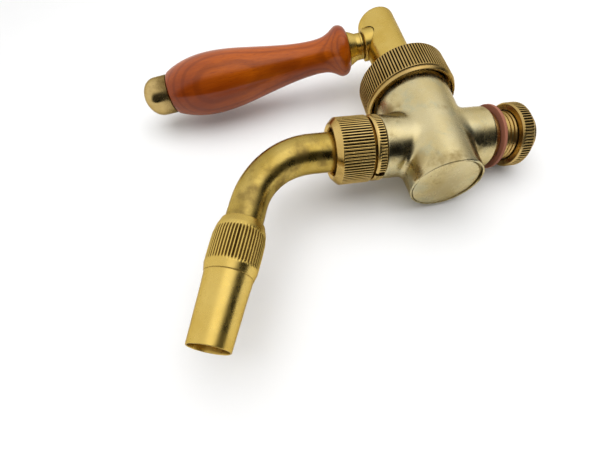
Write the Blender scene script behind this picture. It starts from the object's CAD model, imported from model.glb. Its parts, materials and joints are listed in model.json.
"""Looks for the side-pull beer tap: turned, knurled and cast brass with a turned wooden handle.

Metres, in the frame's own axes. Each visible CAD node is replaced by a finely modelled piece on the
same axis and inside the same box; hidden nodes keep their CAD mesh and get a material.
"""

import json
import math

import bmesh
import bpy
import numpy as np
from mathutils import Matrix, Vector


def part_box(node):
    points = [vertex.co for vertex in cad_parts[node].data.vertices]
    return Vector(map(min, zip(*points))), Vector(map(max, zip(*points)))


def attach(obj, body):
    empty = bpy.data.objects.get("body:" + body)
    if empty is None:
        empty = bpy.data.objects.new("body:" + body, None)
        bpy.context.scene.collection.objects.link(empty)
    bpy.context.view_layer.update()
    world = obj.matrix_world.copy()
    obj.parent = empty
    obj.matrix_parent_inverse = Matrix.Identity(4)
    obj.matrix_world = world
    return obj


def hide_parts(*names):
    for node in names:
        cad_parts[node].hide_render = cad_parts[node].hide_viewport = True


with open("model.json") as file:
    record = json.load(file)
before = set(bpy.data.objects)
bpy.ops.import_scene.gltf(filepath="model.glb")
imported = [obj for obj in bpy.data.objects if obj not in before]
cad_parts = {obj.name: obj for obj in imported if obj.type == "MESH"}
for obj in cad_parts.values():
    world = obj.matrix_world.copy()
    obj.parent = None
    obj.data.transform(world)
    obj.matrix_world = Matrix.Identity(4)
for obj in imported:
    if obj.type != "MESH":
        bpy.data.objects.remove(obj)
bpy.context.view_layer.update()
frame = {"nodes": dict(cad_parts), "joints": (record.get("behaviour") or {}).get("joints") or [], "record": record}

MM = 0.001
TAU = 2 * math.pi
RANDOM = np.random.default_rng(7)

# Fine dimensions that the CAD leaves out
ARC_STEPS = 5                       # points on each rounded edge
KNURL_FACETS = 8                    # facets round one groove of the knurling
NOZZLE_FLUTE_FACETS = 10
CAP_FLUTES = 102
NUT_FLUTES = 70
NOZZLE_FLUTES = 50
KNURL_DEPTH = 0.36 * MM
NOZZLE_FLUTE_DEPTH = 0.42 * MM
THREAD_PITCH = 1.8 * MM
THREAD_DEPTH = 0.42 * MM
THREAD_RUNOUT = 1.5 * MM
TRIM = 0.03 * MM                    # keeps the finest curves inside the CAD's facets
BODY_STEP = 0.45 * MM               # grid step of the cast body's surface
BODY_FILLET = 2.2 * MM              # blend where the branches meet the body
BODY_RIM = 0.5 * MM
PLUG_SEAT_R = 15.45 * MM            # recess in the body's bottom, and the disc pressed into it
PLUG_SEAT = 1.9 * MM
PLUG_R = 14.9 * MM
PLUG_SHIFT = 0.42 * MM              # the disc sits a little to one side and a little crooked
PLUG_SINK = 1.0 * MM
PLUG_GAP_AT = math.radians(20)      # where the gap round the disc is widest
SLOT_TURN = math.radians(-92)       # place of the spanner slot in the lock ring

# Places along the handle, and radii there
FERRULE_RING_END = 11.7 * MM
FERRULE_NECK_R = 7.0 * MM
GRIP_FACE_R = 9.5 * MM
GRIP_END_R = 11.15 * MM
GRIP_BELLY_AT = 98.5 * MM

# The spout tube's centre line, as in the CAD
BEND_START = 55.8 * MM
BEND_R = (30.3 * MM, 35.9 * MM)
BEND_ANGLE = (0.636, 0.590)
TUBE_TAIL = 25.0 * MM               # straight end inside the nozzle


# ------- axes and measuring

class Axis:
    """A line of the object: local z runs along it, local x is a chosen side."""

    def __init__(self, origin, direction, side):
        self.origin = Vector(origin)
        z = Vector(direction).normalized()
        x = (Vector(side) - z * Vector(side).dot(z)).normalized()
        self.basis = Matrix((x, z.cross(x), z)).transposed()
        self.matrix = Matrix.Translation(self.origin) @ self.basis.to_4x4()

    def local(self, node):
        points = np.array([v.co for v in frame["nodes"][node].data.vertices], float)
        return self.seen(points)

    def seen(self, points):
        """Points of the shared frame in this axis's own directions."""
        return (points - np.array(self.origin)) @ np.array(self.basis)

    def span(self, node):
        """Where a turned node starts and ends along the axis."""
        heights = self.local(node)[:, 2]
        return float(heights.min()), float(heights.max())

    def radii(self, node, low=-1.0, high=1.0):
        """Smallest and largest radius of a turned node between two places."""
        points = self.local(node)
        points = points[(points[:, 2] >= low) & (points[:, 2] <= high)]
        radius = np.hypot(points[:, 0], points[:, 1])
        return float(radius.min()), float(radius.max())


JOINTS = {joint["name"]: joint for joint in frame["joints"]}
UP, OUT, SIDE = Vector((0, 0, 1)), Vector((0, -1, 0)), Vector((1, 0, 0))
FLOW_Z = JOINTS["union_nut_turn"]["pos_m"][2]
SPINDLE = Axis((0, 0, 0), UP, SIDE)
FLOW = Axis((0, 0, FLOW_Z), OUT, SIDE)
NOZZLE = Axis(JOINTS["nozzle_turn"]["pos_m"], JOINTS["nozzle_turn"]["axis"], SIDE)


def handle_axis():
    """Runs from the spindle axis through the middle of the end cap."""
    low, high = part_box("handle_stud")
    z = (low.z + high.z) / 2
    points = np.array([v.co for v in frame["nodes"]["handle_end_cap"].data.vertices], float)
    far = points[np.argmax(np.hypot(points[:, 0], points[:, 1]))]
    return Axis((0, 0, z), (far[0], far[1], 0.0), UP)


HANDLE = handle_axis()


# ------- turned pieces

def rounded(corners, closed=True):
    """Turn (radius, height, rounding) corners into profile points with arcs at the corners."""
    points = []
    count = len(corners)
    for k, (radius, height, rounding) in enumerate(corners):
        here = Vector((radius, height))
        if rounding <= 0 or (not closed and k in (0, count - 1)):
            points.append((radius, height))
            continue
        before = (Vector(corners[k - 1][:2]) - here).normalized()
        after = (Vector(corners[(k + 1) % count][:2]) - here).normalized()
        half = before.angle(after) / 2
        if half > 1.5:
            points.append((radius, height))
            continue
        centre = here + (before + after).normalized() * (rounding / math.sin(half))
        start = here + before * (rounding / math.tan(half)) - centre
        end = here + after * (rounding / math.tan(half)) - centre
        first = math.atan2(start.y, start.x)
        turn = (math.atan2(end.y, end.x) - first + math.pi) % TAU - math.pi
        for step in range(ARC_STEPS + 1):
            angle = first + turn * step / ARC_STEPS
            points.append((centre.x + rounding * math.cos(angle), centre.y + rounding * math.sin(angle)))
    return points


def divided(points, step, closed=True):
    """Add points so that no stretch of the profile is longer than step."""
    result = []
    pairs = list(zip(points, points[1:] + points[:1])) if closed else list(zip(points, points[1:]))
    for (r0, h0), (r1, h1) in pairs:
        parts = max(1, math.ceil(math.hypot(r1 - r0, h1 - h0) / step))
        for k in range(parts):
            result.append((r0 + (r1 - r0) * k / parts, h0 + (h1 - h0) * k / parts))
    if not closed:
        result.append(points[-1])
    return result


class Flutes:
    """Straight grooves round the outside of a turned piece, between two places on its axis."""

    def __init__(self, count, low, high, above, depth=KNURL_DEPTH, runout=0.5 * MM, narrow=1.5,
                 facets=KNURL_FACETS):
        self.count, self.low, self.high, self.above = count, low, high, above
        self.depth, self.runout, self.narrow, self.facets = depth, runout, narrow, facets
        self.uneven = 1 + 0.12 * RANDOM.standard_normal(count)

    def groove(self, radii, heights, turns):
        """Share of the full depth, 0 on the plain surface and 1 on a groove's floor."""
        phase = self.count * turns / TAU
        wave = np.cos(math.pi * phase) ** 2
        uneven = self.uneven[np.round(phase).astype(int) % self.count]
        rise = np.clip((heights - self.low) / self.runout, 0, 1)
        fall = np.clip((self.high - heights) / self.runout, 0, 1)
        fade = np.minimum(rise, fall)
        fade = fade * fade * (3 - 2 * fade) * (radii > self.above)
        return fade[:, None] * (wave ** self.narrow * uneven)[None, :]


def new_piece(name, bm_or_mesh, axis=None):
    """Link a mesh as an object with clean normals and smooth faces."""
    if isinstance(bm_or_mesh, bmesh.types.BMesh):
        bm = bm_or_mesh
        mesh = bpy.data.meshes.new(name)
    else:
        mesh = bm_or_mesh
        bm = bmesh.new()
        bm.from_mesh(mesh)
    bmesh.ops.recalc_face_normals(bm, faces=bm.faces)
    bm.to_mesh(mesh)
    bm.free()
    mesh.shade_smooth()
    piece = bpy.data.objects.new(name, mesh)
    bpy.context.scene.collection.objects.link(piece)
    if axis is not None:
        mesh.transform(axis.matrix)
    return piece


def revolve(name, profile, axis, facets=96, closed=True, flutes=None):
    """Spin a profile round an axis; flutes are cut into the outside and kept as an attribute."""
    radii = np.array([p[0] for p in profile])
    heights = np.array([p[1] for p in profile])
    turns = TAU * np.arange(facets) / facets
    groove = np.zeros((len(profile), facets))
    if flutes is not None:
        groove = flutes.groove(radii, heights, turns)
    ring_radii = radii[:, None] - groove * (flutes.depth if flutes else 0)
    points, shares, rings = [], [], []
    for k, radius in enumerate(radii):
        if radius <= 1e-9:
            rings.append([len(points)] * facets)
            points.append((0.0, 0.0, heights[k]))
            shares.append(0.0)
            continue
        rings.append(list(range(len(points), len(points) + facets)))
        across, beside = ring_radii[k] * np.cos(turns), ring_radii[k] * np.sin(turns)
        points += list(zip(across, beside, [heights[k]] * facets))
        shares += list(groove[k])
    faces = []
    pairs = list(zip(rings, rings[1:]))
    if closed:
        pairs.append((rings[-1], rings[0]))
    for near, far in pairs:
        for j in range(facets):
            corner = (near[j], near[(j + 1) % facets], far[(j + 1) % facets], far[j])
            face = tuple(dict.fromkeys(corner))
            if len(face) > 2:
                faces.append(face)
    mesh = bpy.data.meshes.new(name)
    mesh.from_pydata(points, [], faces)
    attribute = mesh.attributes.new("groove", "FLOAT", "POINT")
    attribute.data.foreach_set("value", np.array(shares, np.float32))
    return new_piece(name, mesh, axis)


def weld(piece):
    """Merge points that coincide, such as the middle of a disc."""
    bm = bmesh.new()
    bm.from_mesh(piece.data)
    bmesh.ops.remove_doubles(bm, verts=bm.verts, dist=0.0005 * MM)
    bm.to_mesh(piece.data)
    bm.free()


def crisp(piece, degrees=32):
    piece.data.set_sharp_from_angle(angle=math.radians(degrees))


def cut(piece, cutter):
    """Cut a piece with a closed mesh object, then drop the cutter."""
    step = piece.modifiers.new("cut", "BOOLEAN")
    step.operation = "DIFFERENCE"
    step.solver = "EXACT"
    step.object = cutter
    bpy.context.view_layer.update()
    graph = bpy.context.evaluated_depsgraph_get()
    made = bpy.data.meshes.new_from_object(piece.evaluated_get(graph))
    piece.modifiers.clear()
    piece.data = made
    bpy.data.objects.remove(cutter, do_unlink=True)


def drill(piece, axis, radius, start, end, facets):
    """Cut a round hole along an axis."""
    outline = [(0, start), (radius, start), (radius, end), (0, end)]
    cut(piece, revolve("drill", outline, axis, facets, closed=False))


def place(piece, axis, body, node, look):
    """Give a piece its material, its body and the CAD node that it stands for.

    Each point also keeps its place along the piece's own axis, for turning lines and wood grain.
    """
    points = np.array([v.co for v in piece.data.vertices], float)
    own = piece.data.attributes.new("own_place", "FLOAT_VECTOR", "POINT")
    own.data.foreach_set("vector", axis.seen(points).astype(np.float32).ravel())
    piece.data.materials.clear()
    piece.data.materials.append(look)
    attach(piece, body)
    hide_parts(node)
    return piece


def turned(name, corners, axis, step, flutes=None, facets=96, sharp=50):
    """A ring-shaped piece from its corners; a fluted one gets facets enough for its grooves."""
    if flutes is not None:
        facets = flutes.count * flutes.facets
    piece = revolve(name, divided(rounded(corners), step), axis, facets, flutes=flutes)
    crisp(piece, sharp)
    return piece


# ------- cast body

def smooth_min(a, b, width):
    h = np.clip(0.5 + 0.5 * (b - a) / width, 0, 1)
    return b * (1 - h) + a * h - width * h * (1 - h)


def smooth_max(a, b, width):
    return -smooth_min(-a, -b, width)


def body_field():
    """Signed distance of the cast body: tapered barrel, two branches, bores inside."""
    low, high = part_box("valve_body")
    top = high.z
    bottom_r = SPINDLE.radii("valve_body", high=1.0 * MM)[1]
    shoulder = SPINDLE.span("cap_nut")[0]
    top_r = 18.55 * MM
    branch_r = FLOW.radii("valve_body", low=abs(low.y) - 0.5 * MM)[1]
    reach = abs(low.y)
    cavity_r = 11.0 * MM
    bore_r = SPINDLE.radii("stem_o_ring_lower")[1] + 0.25 * MM
    well_r = 13.3 * MM
    well_floor = SPINDLE.span("thrust_washer")[0] - 0.3 * MM
    tail_r = FLOW.radii("outlet_tailpiece")[1] + 0.3 * MM
    tail_start = 16.0 * MM
    root_r, root_start = 9.0 * MM, 14.2 * MM
    flow_bore = 5.0 * MM
    seat_back = 11.3 * MM

    def field(x, y, z):
        radius = np.hypot(x, y)
        wall = bottom_r + (top_r - bottom_r) * np.clip(z / shoulder, 0, 1)
        barrel = radius - wall
        barrel = smooth_max(barrel, -z, BODY_RIM)
        barrel = np.maximum(barrel, z - top)
        along = np.abs(y)
        off_axis = np.hypot(x, z - FLOW_Z)
        branch = smooth_max(off_axis - branch_r, along - reach, 0.5 * MM)
        solid = smooth_min(barrel, branch, BODY_FILLET)
        recess = np.maximum(radius - PLUG_SEAT_R, z - PLUG_SEAT)
        well = np.maximum(radius - well_r, well_floor - z)
        stem = np.maximum(radius - bore_r, FLOW_Z - z)
        cavity = np.maximum(off_axis - cavity_r, np.where(y > 0, y - seat_back, -1.0))
        tail = np.maximum(off_axis - tail_r, y + tail_start)
        inlet_root = np.maximum(off_axis - root_r, root_start - y)
        inlet = np.maximum(off_axis - flow_bore, -y)
        hollow = np.minimum.reduce([well, stem, cavity, tail, inlet_root, inlet, recess])
        return np.maximum(solid, -hollow)

    return field, low, high


def surface_net(field, low, high, step):
    """Quads round the zero surface of a field, one point in each grid cell that it crosses."""
    margin = 2.5 * step
    axes = [np.arange(low[i] - margin, high[i] + margin, step) for i in range(3)]
    values = field(*np.meshgrid(*axes, indexing="ij"))
    inside = values < 0
    shape = tuple(n - 1 for n in values.shape)
    total = np.zeros(shape + (3,))
    count = np.zeros(shape)
    corners = [(i, j, k) for i in (0, 1) for j in (0, 1) for k in (0, 1)]
    for a in corners:
        for direction in range(3):
            if a[direction]:
                continue
            b = tuple(1 if i == direction else a[i] for i in range(3))
            va = values[tuple(slice(a[i], a[i] + shape[i]) for i in range(3))]
            vb = values[tuple(slice(b[i], b[i] + shape[i]) for i in range(3))]
            crossed = (va < 0) != (vb < 0)
            share = np.where(crossed, va / np.where(crossed, va - vb, 1), 0)
            for i in range(3):
                total[..., i] += crossed * (a[i] + (share if i == direction else 0))
            count += crossed
    active = count > 0
    index = np.full(shape, -1)
    index[active] = np.arange(active.sum())
    cells = np.argwhere(active)
    start = np.array([axis[0] for axis in axes])
    points = start + step * (cells + total[active] / count[active][:, None])
    faces = []
    for direction in range(3):
        u, v = (direction + 1) % 3, (direction + 2) % 3
        nodes = [slice(1, -1)] * 3
        nodes[direction] = slice(0, -1)
        ahead = list(nodes)
        ahead[direction] = slice(1, None)
        here, there = inside[tuple(nodes)], inside[tuple(ahead)]
        for flip in (False, True):
            crossed = (here & ~there) if not flip else (~here & there)
            at = np.argwhere(crossed)
            at[:, u] += 1
            at[:, v] += 1
            ring = []
            for du, dv in ((0, 0), (-1, 0), (-1, -1), (0, -1)):
                cell = at.copy()
                cell[:, u] += du
                cell[:, v] += dv
                ring.append(index[cell[:, 0], cell[:, 1], cell[:, 2]])
            quads = np.stack(ring[::-1] if flip else ring, axis=1)
            faces.append(quads)
    return points, np.concatenate(faces)


def settle(points, field, rounds=5, tiny=0.004 * MM):
    """Move points onto the zero surface of a field along its gradient."""
    for _ in range(rounds):
        value = field(*points.T)
        slope = np.stack([
            field(*(points + offset).T) - field(*(points - offset).T)
            for offset in np.eye(3) * tiny
        ], axis=1) / (2 * tiny)
        length = np.maximum((slope ** 2).sum(1), 0.25)
        move = -(value / length)[:, None] * slope
        points = points + np.clip(move, -BODY_STEP, BODY_STEP)
    return points


def bottom_plug():
    """Points and faces of the disc that closes the body's bottom, a little crooked in its recess."""
    facets = 96
    profile = [(0, 0), (0.4, 0), (0.8, 0), (1, 0), (1, 0.3), (1, 0.6), (1, 2.2), (0, 2.2)]
    profile = [(PLUG_R * share, height * MM) for share, height in profile]
    profile[3] = (PLUG_R - 0.5 * MM, 0.02 * MM)
    profile[4] = (PLUG_R - 0.15 * MM, 0.15 * MM)
    points, faces = [], []
    turns = [TAU * k / facets for k in range(facets)]
    for radius, height in profile:
        for turn in turns:
            sink = PLUG_SINK * (1 + radius / PLUG_R * math.cos(turn - PLUG_GAP_AT)) / 2
            x = radius * math.cos(turn) - PLUG_SHIFT * math.cos(PLUG_GAP_AT)
            y = radius * math.sin(turn) - PLUG_SHIFT * math.sin(PLUG_GAP_AT)
            points.append((x, y, height + sink))
    for ring in range(len(profile) - 1):
        for k in range(facets):
            near, far = ring * facets, (ring + 1) * facets
            faces.append((near + k, near + (k + 1) % facets, far + (k + 1) % facets, far + k))
    return points, faces


def cast_body(look):
    field, low, high = body_field()
    points, faces = surface_net(field, low, high, BODY_STEP)
    points = settle(points, field)
    points = np.clip(points, np.array(low), np.array(high))
    plug_points, plug_faces = bottom_plug()
    plug_faces = [tuple(k + len(points) for k in face) for face in plug_faces]
    mesh = bpy.data.meshes.new("body_casting")
    mesh.from_pydata(points.tolist() + plug_points, [], faces.tolist() + plug_faces)
    body = new_piece("body_casting", mesh)
    weld(body)
    crisp(body, 50)
    place(body, SPINDLE, "valve", "valve_body", look)


# ------- valve head

def cap_nut(look):
    low, high = SPINDLE.span("cap_nut")
    inner, outer = SPINDLE.radii("cap_nut")
    mouth = SPINDLE.radii("cap_nut", high=low + 0.1 * MM)[0]
    ceiling = SPINDLE.span("gland_bush")[1] + 0.3 * MM
    corners = [
        (mouth, low + 0.1 * MM, 0.2 * MM),
        (outer - 0.95 * MM, low, 0.25 * MM),
        (outer - 0.3 * MM, low + 1.35 * MM, 0.2 * MM),
        (outer - 0.65 * MM, low + 1.6 * MM, 0.1 * MM),
        (outer - 0.6 * MM, low + 2.0 * MM, 0.1 * MM),
        (outer, low + 2.3 * MM, 0.2 * MM),
        (outer, high - 1.1 * MM, 0.5 * MM),
        (outer - 1.1 * MM, high, 0.4 * MM),
        (inner, high, 0.3 * MM),
        (inner, ceiling, 0),
        (mouth - 1.2 * MM, ceiling, 0),
        (mouth - 1.2 * MM, low + 3.0 * MM, 0),
        (mouth, low + 2.4 * MM, 0),
    ]
    flutes = Flutes(CAP_FLUTES, low + 2.4 * MM, high - 0.9 * MM, outer - 0.5 * MM)
    nut = turned("cap_nut_knurled", corners, SPINDLE, 0.8 * MM, flutes)
    place(nut, SPINDLE, "valve", "cap_nut", look)


def spindle(look):
    """Stem, collar and head in one; the handle's ferrule seats in a spot-faced flat on the head."""
    low, high = SPINDLE.span("spindle")
    head_r = SPINDLE.radii("spindle", low=high - 3 * MM, high=high - 0.5 * MM)[1]
    collar_top = SPINDLE.span("stem_packing")[0] - 0.3 * MM
    collar_low = SPINDLE.span("thrust_washer")[1] + 0.3 * MM
    stem_r = 6.1 * MM
    corners = [
        (0, low + 3 * MM, 0),
        (stem_r, low + 3 * MM, 0.3 * MM),
        (stem_r, collar_low, 0.2 * MM),
        (10.0 * MM, collar_low, 0.2 * MM),
        (10.0 * MM, collar_top, 0.2 * MM),
        (head_r, collar_top, 0.2 * MM),
        (head_r, high - TRIM, 1.1 * MM),
        (0, high - TRIM, 0),
    ]
    profile = divided(rounded(corners, closed=False), 1.5 * MM, closed=False)
    stem = revolve("spindle_head", profile, SPINDLE, 128, closed=False)
    seat_at = HANDLE.span("handle_ferrule")[0] - 0.3 * MM
    seat_r = HANDLE.radii("handle_ferrule", high=seat_at + 1 * MM)[1] + 0.3 * MM
    past_head = seat_at + 6 * MM
    drill(stem, HANDLE, seat_r, seat_at, past_head, 96)
    stud_r = HANDLE.radii("handle_stud")[1] + 0.3 * MM
    start = HANDLE.span("handle_stud")[0] - 0.3 * MM
    drill(stem, HANDLE, stud_r, start, past_head, 48)
    stem.data.shade_smooth()
    crisp(stem)
    place(stem, SPINDLE, "handle", "spindle", look)


# ------- handle

def ferrule(look):
    """Base ring in the head's spot face, dark relief groove, plain neck flaring to the wood."""
    low, high = HANDLE.span("handle_ferrule")
    inner, outer = HANDLE.radii("handle_ferrule")
    ring = HANDLE.radii("handle_ferrule", high=low + 0.5 * MM)[1]
    ring_end = FERRULE_RING_END
    neck = FERRULE_NECK_R
    groove = neck - 0.7 * MM
    corners = [
        (inner, low, 0),
        (ring, low, 0.2 * MM),
        (ring, ring_end - 0.4 * MM, 0.5 * MM),
        (ring - 0.9 * MM, ring_end, 0.3 * MM),
        (groove, ring_end + 0.1 * MM, 0.1 * MM),
        (groove, ring_end + 0.5 * MM, 0.1 * MM),
        (neck - 0.05 * MM, ring_end + 0.8 * MM, 0.2 * MM),
        (neck, ring_end + 1.6 * MM, 0.1 * MM),
        (neck - 0.2 * MM, ring_end + 1.8 * MM, 0.1 * MM),
        (neck - 0.05 * MM, ring_end + 2.0 * MM, 0.1 * MM),
        (neck, 15.6 * MM, 2.5 * MM),
        (outer - 0.3 * MM, high - 0.5 * MM, 0.4 * MM),
        (outer, high, 0.1 * MM),
        (inner, high, 0),
    ]
    piece = turned("ferrule_turned", corners, HANDLE, 0.8 * MM, sharp=40)
    place(piece, HANDLE, "handle", "handle_ferrule", look)


def eased(stations, step):
    """Smooth curve through (radius, height, slope) stations, sampled along the height."""
    points = []
    for (r0, h0, m0), (r1, h1, m1) in zip(stations, stations[1:]):
        length = h1 - h0
        parts = math.ceil(length / step)
        for k in range(1, parts + 1):
            t = k / parts
            radius = (
                (2 * t ** 3 - 3 * t ** 2 + 1) * r0
                + (t ** 3 - 2 * t ** 2 + t) * length * m0
                + (3 * t ** 2 - 2 * t ** 3) * r1
                + (t ** 3 - t ** 2) * length * m1
            )
            points.append((radius, h0 + length * t))
    return points


def grip(look):
    """Turned handle: round-crested bead at the ferrule, slim neck, long belly, full round end."""
    low, high = HANDLE.span("wood_grip")
    bore, belly_r = HANDLE.radii("wood_grip")
    bead_r = HANDLE.radii("wood_grip", high=low + 12 * MM)[1]
    belly_r -= TRIM
    face_r, end_r, belly_at = GRIP_FACE_R, GRIP_END_R, GRIP_BELLY_AT
    bead_at = low + 4.4 * MM
    points = [(bore, low), (face_r, low)]
    for k in range(1, 17):
        angle = math.pi / 2 * k / 16
        rise = math.sin(angle) ** 0.9
        points.append((face_r + (bead_r - face_r) * rise, bead_at - (bead_at - low) * math.cos(angle)))
    points += eased([
        (bead_r, bead_at, 0.0),
        (11.5 * MM, 28.6 * MM, -0.66),
        (9.15 * MM, 35 * MM, -0.10),
        (8.9 * MM, 38.5 * MM, 0.0),
        (11.1 * MM, 60 * MM, 0.165),
        (14.7 * MM, 80 * MM, 0.17),
        (belly_r, belly_at, 0.0),
    ], 1.0 * MM)
    half_length = (high - belly_at) / math.sqrt(1 - (end_r / belly_r) ** 2)
    for k in range(1, 25):
        ahead = (high - 0.7 * MM - belly_at) * math.sin(math.pi / 2 * k / 24)
        points.append((belly_r * math.sqrt(1 - (ahead / half_length) ** 2), belly_at + ahead))
    points += [(end_r - 0.05 * MM, high - 0.25 * MM), (end_r - 0.45 * MM, high), (bore, high)]
    piece = revolve("grip_turned", points, HANDLE, 128)
    crisp(piece, 60)
    place(piece, HANDLE, "handle", "wood_grip", look)


def end_cap(look):
    low, high = HANDLE.span("handle_end_cap")
    high -= TRIM
    outer = HANDLE.radii("handle_end_cap")[1]
    bore = HANDLE.radii("handle_stud")[1] + 0.3 * MM
    bore_end = HANDLE.span("handle_stud")[1] + 0.3 * MM
    side = high - 8.6 * MM
    points = [(0, bore_end), (bore, bore_end), (bore, low)]
    points += [(outer - 0.3 * MM, low), (outer, low + 0.3 * MM)]
    points += [(outer, low + (side - low) * k / 8) for k in range(1, 9)]
    quarter = [math.pi / 2 * k / 24 for k in range(1, 24)]
    points += [(outer * math.cos(a), side + (high - side) * math.sin(a)) for a in quarter]
    points.append((0, high))
    piece = revolve("end_cap_turned", points, HANDLE, 96, closed=False)
    crisp(piece, 50)
    place(piece, HANDLE, "handle", "handle_end_cap", look)


# ------- outlet

def lock_ring(look):
    low, high = FLOW.span("lock_ring")
    inner, outer = FLOW.radii("lock_ring")
    corners = [
        (inner, low, 0),
        (outer - 0.3 * MM, low, 0.15 * MM),
        (outer, low + 0.3 * MM, 0.15 * MM),
        (outer, high - 0.6 * MM, 0.3 * MM),
        (outer - 0.5 * MM, high, 0.25 * MM),
        (inner, high, 0),
    ]
    flutes = Flutes(NUT_FLUTES, low + 0.05 * MM, high - 1.1 * MM, outer - 0.4 * MM)
    ring = turned("lock_ring_knurled", corners, FLOW, 0.5 * MM, flutes)
    slot = bmesh.new()
    bmesh.ops.create_cube(slot, size=1.0)
    bmesh.ops.scale(slot, vec=(6 * MM, 1.8 * MM, 10 * MM), verts=slot.verts)
    bmesh.ops.translate(slot, vec=(outer, 0, (low + high) / 2), verts=slot.verts)
    turn = Matrix.Rotation(SLOT_TURN, 3, "Z")
    bmesh.ops.rotate(slot, cent=(0, 0, 0), matrix=turn, verts=slot.verts)
    cut(ring, new_piece("slot", slot, FLOW))
    ring.data.shade_smooth()
    crisp(ring, 50)
    place(ring, FLOW, "valve", "lock_ring", look)


def union_nut(look):
    low, high = FLOW.span("union_nut")
    inner, outer = FLOW.radii("union_nut")
    thread_r = FLOW.radii("outlet_tailpiece")[1] + 0.3 * MM
    shoulder = FLOW.span("spout_collar")[1] + 0.3 * MM
    corners = [
        (thread_r, low, 0),
        (outer - 0.6 * MM, low, 0.3 * MM),
        (outer, low + 0.6 * MM, 0.3 * MM),
        (outer, high - 2.5 * MM, 0.5 * MM),
        (outer - 2.4 * MM, high - 0.15 * MM, 0.4 * MM),
        (inner + 1.6 * MM, high, 0.3 * MM),
        (inner + 0.3 * MM, high - 0.7 * MM, 0.5 * MM),
        (inner, high - 1.6 * MM, 0.3 * MM),
        (inner, shoulder, 0),
        (thread_r, shoulder, 0),
    ]
    flutes = Flutes(NUT_FLUTES, low + 0.3 * MM, high - 2.4 * MM, outer - 0.5 * MM)
    nut = turned("union_nut_knurled", corners, FLOW, 0.8 * MM, flutes)
    place(nut, FLOW, "union", "union_nut", look)


def bend_line(step):
    """Centre line of the spout tube in the plane x = 0: (distance out, drop, angle)."""
    start = FLOW.span("spout_tube")[0]
    out, drop, angle = BEND_START, 0.0, 0.0
    straight = math.ceil((out - start) / step)
    line = [(start + (out - start) * k / straight, 0.0, 0.0) for k in range(straight + 1)]
    for radius, sweep in zip(BEND_R, BEND_ANGLE):
        first_out, first_drop, first = out, drop, angle
        parts = math.ceil(radius * sweep / step)
        for k in range(1, parts + 1):
            angle = first + sweep * k / parts
            out = first_out + radius * (math.sin(angle) - math.sin(first))
            drop = first_drop + radius * (math.cos(first) - math.cos(angle))
            line.append((out, drop, angle))
    parts = math.ceil(TUBE_TAIL / step)
    for k in range(1, parts + 1):
        ahead = TUBE_TAIL * k / parts
        line.append((out + ahead * math.cos(angle), drop + ahead * math.sin(angle), angle))
    return line


def spout_tube(look):
    """Bent tube that tapers along the bend, from the union to the nozzle."""
    facets = 96
    wall = 1.2 * MM
    root_r = FLOW.radii("spout_tube", high=BEND_START)[1]
    tip_r = NOZZLE.radii("spout_tube", low=20 * MM)[1]
    points, rings = [], {0: [], 1: []}
    line = bend_line(1.2 * MM)
    for inner in (0, 1):
        for out, drop, angle in line:
            taper = (1 - math.cos(math.pi * angle / sum(BEND_ANGLE))) / 2
            radius = root_r + (tip_r - root_r) * taper - wall * inner
            up = Vector((0, -math.sin(angle), math.cos(angle)))
            centre = Vector((0, -out, FLOW_Z - drop))
            ring = [
                centre + radius * (SIDE * math.cos(TAU * k / facets) + up * math.sin(TAU * k / facets))
                for k in range(facets)
            ]
            rings[inner].append(list(range(len(points), len(points) + facets)))
            points += [tuple(point) for point in ring]
    pairs = []
    for inner in (0, 1):
        pairs += list(zip(rings[inner], rings[inner][1:]))
    pairs += [(rings[0][0], rings[1][0]), (rings[0][-1], rings[1][-1])]
    faces = [
        (near[k], near[(k + 1) % facets], far[(k + 1) % facets], far[k])
        for near, far in pairs
        for k in range(facets)
    ]
    mesh = bpy.data.meshes.new("spout_bent_tube")
    mesh.from_pydata(points, [], faces)
    tube = new_piece("spout_bent_tube", mesh)
    crisp(tube, 50)
    place(tube, FLOW, "spout", "spout_tube", look)


def nozzle(look):
    low, high = NOZZLE.span("nozzle")
    outer = NOZZLE.radii("nozzle")[1]
    tube_r = NOZZLE.radii("nozzle", high=low + 0.1 * MM)[0]
    bore_r = NOZZLE.radii("nozzle_gasket")[0]
    step_at = low + 22.1 * MM
    grip_low, grip_high = low + 4.6 * MM, low + 18.9 * MM
    grip_end_r = 10.05 * MM
    cone_r = 9.15 * MM
    tip_r = NOZZLE.radii("nozzle", low=high - 0.5 * MM)[1]
    wall = 0.6 * MM
    seat = 28.0 * MM
    corners = [
        (tube_r, low, 0.1 * MM),
        (tube_r + 0.8 * MM, low, 0.3 * MM),
        (outer - 0.55 * MM, low + 3.2 * MM, 1.5 * MM),
        (outer, low + 7.0 * MM, 6.0 * MM),
        (outer - 0.05 * MM, low + 13.0 * MM, 6.0 * MM),
        (grip_end_r, low + 19.2 * MM, 1.0 * MM),
        (cone_r + 0.2 * MM, step_at - 0.1 * MM, 0.2 * MM),
        (cone_r - 0.05 * MM, step_at, 0.05 * MM),
        (cone_r - 0.05 * MM, step_at + 0.15 * MM, 0.05 * MM),
        (cone_r + 0.05 * MM, step_at + 0.25 * MM, 0.05 * MM),
        (cone_r - 0.4 * MM, step_at + 6.5 * MM, 6.0 * MM),
        (tip_r, high, 0.2 * MM),
        (tip_r - wall, high, 0.2 * MM),
        (bore_r, step_at + 4 * MM, 0),
        (bore_r, seat, 0),
        (tube_r, seat, 0),
    ]
    flutes = Flutes(NOZZLE_FLUTES, grip_low - 0.3 * MM, grip_high, outer - 1.2 * MM,
                    NOZZLE_FLUTE_DEPTH, 1.3 * MM, 1.3, NOZZLE_FLUTE_FACETS)
    piece = turned("nozzle_fluted", corners, NOZZLE, 0.8 * MM, flutes)
    place(piece, NOZZLE, "nozzle", "nozzle", look)


# ------- inlet

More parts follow.
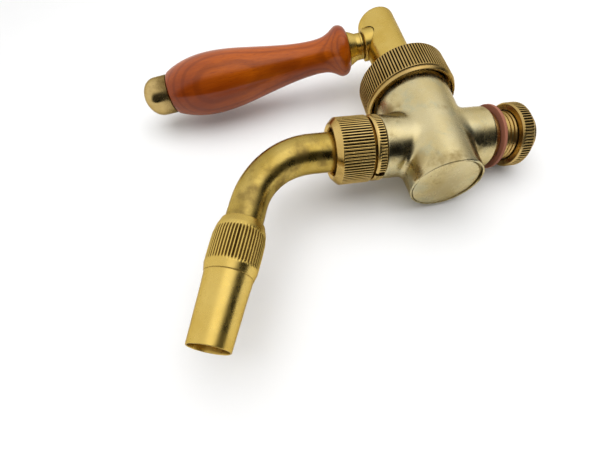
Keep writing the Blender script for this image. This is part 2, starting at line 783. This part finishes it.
def inlet_shank(look):
    """Shank with a rolled thread between the flange and the chamfered end."""
    low, high = FLOW.span("inlet_shank")
    bore, flange_r = FLOW.radii("inlet_shank")
    thread_r = FLOW.radii("inlet_shank", high=low + 1.5 * MM)[1]
    flange_low = FLOW.span("mounting_washer")[1] + 0.3 * MM
    branch_end = -(abs(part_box("valve_body")[1].y) + 0.3 * MM)
    corners = [
        (bore, low, 0.2 * MM),
        (thread_r - 0.9 * MM, low, 0.2 * MM),
        (thread_r, low + 0.9 * MM, 0.2 * MM),
        (thread_r, flange_low - 1.4 * MM, 0),
        (thread_r - 0.8 * MM, flange_low - 1.0 * MM, 0.2 * MM),
        (thread_r - 0.8 * MM, flange_low, 0),
        (flange_r, flange_low, 0.3 * MM),
        (flange_r, branch_end, 0.3 * MM),
        (8.7 * MM, branch_end, 0),
        (8.7 * MM, high, 0.3 * MM),
        (bore, high, 0),
    ]
    profile = divided(rounded(corners), 0.3 * MM)
    shank = revolve("shank_threaded", profile, None, 96)
    for vertex in shank.data.vertices:
        x, y, z = vertex.co
        radius = math.hypot(x, y)
        fade = min(z - low - 0.6 * MM, flange_low - 1.2 * MM - z) / THREAD_RUNOUT
        if radius > thread_r - 0.2 * MM and z < flange_low - 1.0 * MM:
            phase = z / THREAD_PITCH + math.atan2(y, x) / TAU
            depth = THREAD_DEPTH * (1 - abs(2 * (phase % 1.0) - 1)) * min(1.0, max(0.0, fade))
            vertex.co.x *= (radius - depth) / radius
            vertex.co.y *= (radius - depth) / radius
    shank.data.transform(FLOW.matrix)
    place(shank, FLOW, "valve", "inlet_shank", look)


def mounting_nut(look):
    low, high = FLOW.span("mounting_nut")
    inner, outer = FLOW.radii("mounting_nut")
    corners = [
        (inner, low, 0.2 * MM),
        (outer - 0.7 * MM, low, 0.3 * MM),
        (outer, low + 0.8 * MM, 0.3 * MM),
        (outer, high - 0.8 * MM, 0.3 * MM),
        (outer - 0.7 * MM, high, 0.3 * MM),
        (inner, high, 0.2 * MM),
    ]
    flutes = Flutes(NUT_FLUTES, low + 0.6 * MM, high - 0.6 * MM, outer - 0.5 * MM)
    nut = turned("mounting_nut_knurled", corners, FLOW, 0.6 * MM, flutes)
    place(nut, FLOW, "valve", "mounting_nut", look)


def mounting_washer(look):
    low, high = FLOW.span("mounting_washer")
    inner, outer = FLOW.radii("mounting_washer")
    corners = [
        (inner, low, 0.2 * MM),
        (outer, low, 0.3 * MM),
        (outer, high, 0.3 * MM),
        (inner, high, 0.2 * MM),
    ]
    washer = revolve("mounting_washer_fibre", divided(rounded(corners), 1 * MM), FLOW, 96)
    place(washer, FLOW, "valve", "mounting_washer", look)


# ------- materials

class Nodes:
    """Small helper for building a node tree."""

    def __init__(self, tree):
        self.tree = tree

    def add(self, kind, **settings):
        node = self.tree.nodes.new(kind)
        for key, value in settings.items():
            setattr(node, key, value)
        return node

    def link(self, source, target):
        self.tree.links.new(source, target)

    def feed(self, target, value):
        if isinstance(value, bpy.types.NodeSocket):
            self.link(value, target)
        elif isinstance(value, (tuple, list)) and len(value) == 3 and target.type == "RGBA":
            target.default_value = (*value, 1.0)
        else:
            target.default_value = value

    def ramp(self, value, low, high, start=0.0, end=1.0):
        node = self.add("ShaderNodeMapRange", interpolation_type="SMOOTHSTEP")
        for key, number in zip(("From Min", "From Max", "To Min", "To Max"), (low, high, start, end)):
            node.inputs[key].default_value = number
        self.link(value, node.inputs["Value"])
        return node.outputs["Result"]

    def maths(self, operation, a, b=0.5, clamp=False):
        node = self.add("ShaderNodeMath", operation=operation, use_clamp=clamp)
        self.feed(node.inputs[0], a)
        self.feed(node.inputs[1], b)
        return node.outputs[0]

    def blend(self, factor, a, b):
        """Mix two shaders."""
        node = self.add("ShaderNodeMixShader")
        for socket, source in zip(node.inputs, (factor, a, b)):
            self.link(source, socket)
        return node.outputs[0]


class Graph(Nodes):
    """A new material's nodes."""

    def __init__(self, name):
        self.material = bpy.data.materials.new(name)
        self.material.use_nodes = True
        super().__init__(self.material.node_tree)
        self.shader = self.tree.nodes["Principled BSDF"]
        self.place = self.add("ShaderNodeTexCoord").outputs["Object"]
        self.own = self.add("ShaderNodeAttribute", attribute_name="own_place").outputs["Vector"]

    def noise(self, scale, detail=4.0, roughness=0.55, stretch=(1, 1, 1), vector=None, offset=0.0):
        mapping = self.add("ShaderNodeMapping")
        mapping.inputs["Scale"].default_value = stretch
        mapping.inputs["Location"].default_value = (offset, offset, offset)
        self.link(vector or self.place, mapping.inputs["Vector"])
        texture = self.add("ShaderNodeTexNoise")
        texture.inputs["Scale"].default_value = scale
        texture.inputs["Detail"].default_value = detail
        texture.inputs["Roughness"].default_value = roughness
        self.link(mapping.outputs["Vector"], texture.inputs["Vector"])
        return texture.outputs["Fac"]

    def mix(self, factor, a, b):
        node = self.add("ShaderNodeMix", data_type="RGBA")
        self.feed(node.inputs["Factor"], factor)
        self.feed(node.inputs["A"], a)
        self.feed(node.inputs["B"], b)
        return node.outputs["Result"]

    def crevice(self, distance):
        node = self.add("ShaderNodeAmbientOcclusion", samples=4)
        node.inputs["Distance"].default_value = distance
        return self.ramp(node.outputs["AO"], 0.35, 0.95, 1.0, 0.0)

    def groove(self):
        return self.add("ShaderNodeAttribute", attribute_name="groove").outputs["Fac"]

    def bump(self, height, strength, distance, normal=None):
        node = self.add("ShaderNodeBump")
        node.inputs["Strength"].default_value = strength
        node.inputs["Distance"].default_value = distance
        self.link(height, node.inputs["Height"])
        if normal is not None:
            self.link(normal, node.inputs["Normal"])
        return node.outputs["Normal"]

    def finish(self, colour, roughness, metallic, normal=None):
        self.feed(self.shader.inputs["Base Color"], colour)
        self.feed(self.shader.inputs["Roughness"], roughness)
        self.feed(self.shader.inputs["Metallic"], metallic)
        if normal is not None:
            self.link(normal, self.shader.inputs["Normal"])
        return self.material


# Brown stains on the cast body, in the shared frame: middle, reach and strength
BODY_SPOTS = (
    (Vector((6.0, -16.5, 38.5)) * MM, 4.5 * MM, 0.75),
    (Vector((8.5, -15.5, 27.5)) * MM, 5.5 * MM, 0.45),
    (Vector((10.0, -13.5, 8.5)) * MM, 4.0 * MM, 0.40),
    (Vector((-2.0, 0.0, 0.0)) * MM, 9.0 * MM, 0.30),
)

# Along the handle: where the dirt beside the wood starts to fade, and where the end cap is clean
CAP_SOILED = (124 * MM, 133 * MM)


def aged_brass(name, bright, warm, patina, rough, blotch=(0.5, 0.72), blotch_size=11 * MM,
               crevice=3 * MM, stain=0.55, grooves=False, lines=0.10, pits=0.0, haze=None,
               soiled=None, spots=()):
    """Brass with drifting tone, brown patina in crevices and blotches, and fine turning lines."""
    g = Graph(name)
    drift = g.noise(1 / (16 * MM), 3.0)
    tone = g.mix(g.ramp(drift, 0.35, 0.7), bright, warm)
    if haze:
        veil = g.ramp(g.noise(1 / (9 * MM), 5.0, 0.6, offset=31 * MM), 0.5, 0.72, 0.0, 0.75)
        tone = g.mix(veil, tone, haze)
    blotches = g.ramp(g.noise(1 / blotch_size, 8.0, 0.62), blotch[0], blotch[1])
    corner = g.crevice(crevice)
    dirt = g.maths("MULTIPLY", blotches, stain)
    dirt = g.maths("MAXIMUM", dirt, g.maths("MULTIPLY", corner, 0.92))
    speckle = g.ramp(g.noise(1 / (1.3 * MM), 5.0, 0.7), 0.52, 0.75)
    dirt = g.maths("ADD", dirt, g.maths("MULTIPLY", speckle, 0.10), clamp=True)
    if grooves:
        floor = g.ramp(g.groove(), 0.10, 0.55)
        dirt = g.maths("MAXIMUM", dirt, floor, clamp=True)
    if soiled:
        along = g.add("ShaderNodeSeparateXYZ")
        g.link(g.own, along.inputs[0])
        band = g.maths("ADD", along.outputs["Z"], g.maths("MULTIPLY", drift, 6 * MM))
        dirt = g.maths("ADD", dirt, g.ramp(band, soiled[0], soiled[1], 0.6, 0.0), clamp=True)
    for centre, reach, strength in spots:
        away = g.add("ShaderNodeVectorMath", operation="DISTANCE")
        g.link(g.own, away.inputs[0])
        away.inputs[1].default_value = centre
        ragged = g.maths("ADD", away.outputs["Value"], g.maths("MULTIPLY", speckle, reach))
        dirt = g.maths("MAXIMUM", dirt, g.ramp(ragged, reach * 0.3, reach * 1.4, strength, 0.0))
    colour = g.mix(dirt, tone, patina)
    smudge = g.ramp(g.noise(1 / (5 * MM), 6.0, 0.6), 0.3, 0.7, rough - 0.04, rough + 0.07)
    roughness = g.maths("ADD", smudge, g.maths("MULTIPLY", dirt, 0.25), clamp=True)
    turning = g.noise(1 / (0.25 * MM), 2.0, 0.5, stretch=(0.03, 0.03, 1), vector=g.own)
    normal = g.bump(turning, lines, 0.01 * MM)
    if pits:
        pitting = g.ramp(g.noise(1 / (1.6 * MM), 5.0, 0.65), 0.3, 0.62)
        normal = g.bump(pitting, pits, 0.08 * MM, normal)
    material = g.finish(colour, roughness, 1.0, normal)
    g.shader.inputs["Specular Tint"].default_value = (0.62, 0.56, 0.45, 1.0)
    return material


# The tree's pith, in the handle's own directions: which side the far surface is on, how far the pith
# lies from the handle's axis at the neck, and how much it leans towards that side along the handle
PITH_SIDE = (-0.78, -0.63)
NECK_AT = 38 * MM
PITH_DEPTH = 24 * MM
PITH_LEAN = 0.10


def turned_wood(name):
    """Reddish hardwood: long growth-ring lines that arch where the turning cuts across them."""
    g = Graph(name)
    sway = g.add("ShaderNodeTexNoise")
    sway.inputs["Scale"].default_value = 1 / (40 * MM)
    sway.inputs["Detail"].default_value = 2.0
    g.link(g.own, sway.inputs["Vector"])
    shift = g.add("ShaderNodeVectorMath", operation="MULTIPLY_ADD")
    g.link(sway.outputs["Color"], shift.inputs[0])
    shift.inputs[1].default_value = (4 * MM, 4 * MM, 0)
    g.link(g.own, shift.inputs[2])
    along = g.add("ShaderNodeSeparateXYZ")
    g.link(g.own, along.inputs[0])
    pith = g.add("ShaderNodeCombineXYZ")
    for part, side in zip("XY", PITH_SIDE):
        lean = g.maths("MULTIPLY_ADD", along.outputs["Z"], side * PITH_LEAN)
        lean.node.inputs[2].default_value = -side * (PITH_DEPTH + PITH_LEAN * NECK_AT)
        g.link(lean, pith.inputs[part])
    from_pith = g.add("ShaderNodeVectorMath", operation="SUBTRACT")
    g.link(shift.outputs[0], from_pith.inputs[0])
    g.link(pith.outputs[0], from_pith.inputs[1])
    rings = g.add("ShaderNodeTexWave", wave_type="RINGS", rings_direction="Z")
    g.link(from_pith.outputs[0], rings.inputs["Vector"])
    rings.inputs["Scale"].default_value = 140.0
    rings.inputs["Distortion"].default_value = 0.3
    rings.inputs["Detail"].default_value = 2.0
    rings.inputs["Detail Scale"].default_value = 1.2
    band = g.ramp(rings.outputs["Fac"], 0.5, 1.0)
    grain = (1, 1, 0.04)
    fibres = g.noise(1 / (0.8 * MM), 4.0, 0.6, stretch=grain, vector=g.own)
    pores = g.ramp(g.noise(1 / (0.4 * MM), 3.0, 0.6, stretch=grain, vector=g.own), 0.58, 0.72)
    cloud = g.ramp(g.noise(1 / (24 * MM), 2.0, stretch=(1, 1, 0.4), vector=g.own), 0.35, 0.65)
    base = g.mix(cloud, (0.36, 0.088, 0.0005), (0.20, 0.035, 0.0005))
    ringed = g.mix(g.maths("MULTIPLY", band, 0.36), base, (0.085, 0.012, 0.001))
    streaked = g.mix(g.ramp(fibres, 0.3, 0.75, 0.0, 0.35), ringed, (0.13, 0.022, 0.001))
    colour = g.mix(g.maths("MULTIPLY", pores, 0.4), streaked, (0.10, 0.017, 0.002))
    normal = g.bump(fibres, 0.12, 0.05 * MM)
    material = g.finish(colour, g.ramp(fibres, 0.2, 0.8, 0.32, 0.44), 0.0, normal)
    g.shader.inputs["Coat Weight"].default_value = 0.62
    g.shader.inputs["Coat Roughness"].default_value = 0.12
    g.shader.inputs["Coat Tint"].default_value = (1.0, 0.72, 0.40, 1.0)
    g.shader.inputs["Specular IOR Level"].default_value = 0.1
    g.shader.inputs["Specular Tint"].default_value = (1.0, 0.55, 0.25, 1.0)
    return material


def plain(name, colour, roughness, metallic, bump=0.1, size=1 * MM):
    g = Graph(name)
    drift = g.noise(1 / size, 4.0)
    tinted = g.mix(g.ramp(drift, 0.3, 0.7, 0.0, 0.35), colour, tuple(c * 0.7 for c in colour))
    rough = g.ramp(drift, 0.2, 0.8, max(0.05, roughness - 0.08), min(1.0, roughness + 0.08))
    return g.finish(tinted, rough, metallic, g.bump(drift, bump, 0.03 * MM))


def looks():
    """A material for each slot in the record, and two more tones of brass: end cap, union parts."""
    knurling = {"blotch": (0.6, 0.9), "stain": 0.3, "crevice": 0.9 * MM, "grooves": True}
    return {
        "body_brass": aged_brass(
            "aged_body_brass", (0.63, 0.54, 0.31), (0.59, 0.48, 0.235), (0.24, 0.155, 0.04), 0.24,
            blotch=(0.52, 0.74), stain=0.65, crevice=1.1 * MM, pits=0.12,
            haze=(0.47, 0.455, 0.30), spots=BODY_SPOTS,
        ),
        "knurled_brass": aged_brass(
            "aged_knurled_brass", (0.58, 0.40, 0.15), (0.45, 0.295, 0.09), (0.012, 0.007, 0.002),
            0.25, **knurling,
        ),
        "union_brass": aged_brass(
            "aged_union_brass", (0.72, 0.51, 0.19), (0.58, 0.39, 0.12), (0.012, 0.007, 0.002),
            0.22, **knurling,
        ),
        "bright_brass": aged_brass(
            "satin_yellow_brass", (0.69, 0.495, 0.135), (0.62, 0.42, 0.09), (0.14, 0.075, 0.015),
            0.27, blotch=(0.62, 0.88), stain=0.25, crevice=1.2 * MM, grooves=True,
        ),
        "cap_brass": aged_brass(
            "dull_cap_brass", (0.58, 0.42, 0.17), (0.42, 0.29, 0.105), (0.09, 0.050, 0.012), 0.16,
            blotch=(0.52, 0.74), stain=0.45, crevice=1.2 * MM, soiled=CAP_SOILED,
        ),
        "tube_brass": aged_brass(
            "olive_tube_brass", (0.58, 0.42, 0.115), (0.44, 0.30, 0.06), (0.20, 0.13, 0.04), 0.21,
            blotch=(0.42, 0.68), stain=0.8, lines=0.22,
        ),
        "steel": plain("turned_steel", (0.55, 0.55, 0.56), 0.28, 1.0),
        "turned_wood": turned_wood("red_turned_wood"),
        "rubber": plain("black_rubber", (0.025, 0.025, 0.027), 0.65, 0.0, 0.3),
        "seal_plastic": plain("white_ptfe", (0.82, 0.82, 0.79), 0.45, 0.0),
        "fibre": plain("red_fibre", (0.28, 0.10, 0.055), 0.8, 0.0, 0.5, 0.5 * MM),
    }


def paint_hidden_nodes(look):
    """CAD nodes that stay as they are take the material of their slot."""
    for entry in frame["record"]["subparts"]:
        node = frame["nodes"][entry["node"]]
        node.data.materials.clear()
        node.data.materials.append(look[entry["material_slot"]])


# ------- stage

# The tap lies on its side on a table: on the grip's belly, the cap nut and the body's lower rim
TABLE_UP = Vector((0.984, -0.143, 0.106)).normalized()
CAMERA_AT = Vector((128.96, -88.16, -80.52)) * MM
CAMERA_AHEAD = Vector((-0.8702, 0.1534, 0.4682))
CAMERA_RIGHT = Vector((0.0731, 0.9800, -0.1852))
LENS_MM = 22.05
AWAY = (CAMERA_AHEAD - TABLE_UP * CAMERA_AHEAD.dot(TABLE_UP)).normalized()
RIGHT = AWAY.cross(TABLE_UP)
PALE = (0.76, 0.76, 0.76)           # the table's own tone
BACKDROP = (0.955, 0.955, 0.952)    # what the camera sees beyond the table
ROOM_LIGHT = 0.84                   # how much the surroundings light matt surfaces
TABLE_SHEEN = 0.98                  # how bright polished metal sees the table


def table_height():
    """Lowest point of the whole object along the table's normal."""
    lowest = 1.0
    for node in frame["nodes"].values():
        lowest = min(lowest, min(v.co.dot(TABLE_UP) for v in node.data.vertices))
    return lowest - 0.1 * MM


def table():
    """A pale disc seen only from its upper side, fading into the pale surroundings."""
    bm = bmesh.new()
    bmesh.ops.create_circle(bm, cap_ends=True, segments=64, radius=1.4)
    floor = new_piece("floor", bm)
    floor.matrix_world = (
        Matrix.Translation(TABLE_UP * table_height())
        @ TABLE_UP.to_track_quat("Z", "Y").to_matrix().to_4x4()
    )
    g = Graph("pale_table")
    grain = g.noise(1 / (60 * MM), 3.0)
    tint = g.mix(g.ramp(grain, 0.3, 0.7), PALE, tuple(c * 0.985 for c in PALE))
    dimmed = tuple(c * TABLE_SHEEN for c in PALE)
    g.finish(g.mix(g.add("ShaderNodeLightPath").outputs["Is Glossy Ray"], tint, dimmed), 0.6, 0.0)
    g.shader.inputs["Specular IOR Level"].default_value = 0.2
    distance = g.add("ShaderNodeVectorMath", operation="LENGTH")
    g.link(g.place, distance.inputs[0])
    fade = g.ramp(distance.outputs["Value"], 0.25, 0.6)
    glow = g.add("ShaderNodeEmission")
    glow.inputs["Color"].default_value = (*BACKDROP, 1.0)
    melt = g.blend(fade, g.shader.outputs[0], glow.outputs[0])
    clear = g.add("ShaderNodeBsdfTransparent").outputs[0]
    underside = g.add("ShaderNodeNewGeometry").outputs["Backfacing"]
    one_sided = g.blend(underside, melt, clear)
    g.link(one_sided, g.tree.nodes["Material Output"].inputs["Surface"])
    floor.data.materials.append(g.material)


def surroundings():
    """Pale for the camera; polished metal sees a soft window overhead and a dark near side."""
    world = bpy.data.worlds.new("room")
    bpy.context.scene.world = world
    world.use_nodes = True
    world.node_tree.nodes.clear()
    sky = Nodes(world.node_tree)
    seen_from = sky.add("ShaderNodeTexCoord").outputs["Generated"]

    def facing(direction, low, high, start, end):
        """Brightness that changes smoothly with how far a ray points along a direction."""
        dot = sky.add("ShaderNodeVectorMath", operation="DOT_PRODUCT")
        dot.inputs[1].default_value = direction.normalized()
        sky.link(seen_from, dot.inputs[0])
        return sky.ramp(dot.outputs["Value"], low, high, start, end)

    def background(colour, strength=1.0):
        node = sky.add("ShaderNodeBackground")
        sky.feed(node.inputs["Color"], colour)
        sky.feed(node.inputs["Strength"], strength)
        return node.outputs[0]

    lit = facing(AWAY - RIGHT + TABLE_UP * 0.4, -0.50, -0.22, 0.03, 1.0)
    far = facing(AWAY, 0.60, 0.98, 1.0, 0.70)
    side = facing(RIGHT, 0.62, 0.95, 1.0, 0.25)
    behind = facing(AWAY, -0.70, -0.36, 0.05, 1.0)
    window = facing(TABLE_UP * 0.88 + RIGHT * 0.40, 0.82, 0.98, 0.0, 0.50)
    for shade in (far, side, behind):
        lit = sky.maths("MULTIPLY", lit, shade)
    near = facing(AWAY, -0.9, 0.3, 0.60 * ROOM_LIGHT, 1.15 * ROOM_LIGHT)
    path = sky.add("ShaderNodeLightPath").outputs
    matt = background(BACKDROP, near)
    polished = background(sky.maths("ADD", lit, window))
    unseen = sky.blend(path["Is Glossy Ray"], matt, polished)
    shown = sky.blend(path["Is Camera Ray"], unseen, background(BACKDROP))
    sky.link(shown, sky.add("ShaderNodeOutputWorld").inputs["Surface"])


def soft_light(name, offset, size, watts):
    """A square area light for matt surfaces, placed in the table's directions: right, away, up."""
    centre = Vector((0, -30 * MM, 40 * MM))
    data = bpy.data.lights.new(name, "AREA")
    data.energy = watts
    data.size = size
    lamp = bpy.data.objects.new(name, data)
    lamp.location = centre + RIGHT * offset[0] + AWAY * offset[1] + TABLE_UP * offset[2]
    lamp.rotation_mode = "QUATERNION"
    lamp.rotation_quaternion = (centre - lamp.location).to_track_quat("-Z", "Y")
    lamp.visible_glossy = False
    bpy.context.scene.collection.objects.link(lamp)


def camera():
    data = bpy.data.cameras.new("camera")
    data.lens = LENS_MM
    data.sensor_width = 36.0
    data.clip_start = 0.005
    seen = bpy.data.objects.new("camera", data)
    back = -CAMERA_AHEAD.normalized()
    right = (CAMERA_RIGHT - back * CAMERA_RIGHT.dot(back)).normalized()
    turn = Matrix((right, back.cross(right), back)).transposed()
    seen.matrix_world = Matrix.Translation(CAMERA_AT) @ turn.to_4x4()
    bpy.context.scene.collection.objects.link(seen)
    bpy.context.scene.camera = seen


def build():
    look = looks()
    paint_hidden_nodes(look)
    cast_body(look["body_brass"])
    cap_nut(look["knurled_brass"])
    spindle(look["bright_brass"])
    ferrule(look["bright_brass"])
    grip(look["turned_wood"])
    end_cap(look["cap_brass"])
    lock_ring(look["union_brass"])
    union_nut(look["union_brass"])
    spout_tube(look["tube_brass"])
    nozzle(look["bright_brass"])
    inlet_shank(look["knurled_brass"])
    mounting_nut(look["knurled_brass"])
    mounting_washer(look["fibre"])
    table()
    surroundings()
    soft_light("key", (-0.05, 0.05, 0.55), 0.70, 3.0)
    soft_light("fill", (0.30, -0.05, 0.50), 0.40, 0.6)
    camera()
    bpy.context.scene.view_settings.view_transform = "Standard"


build()
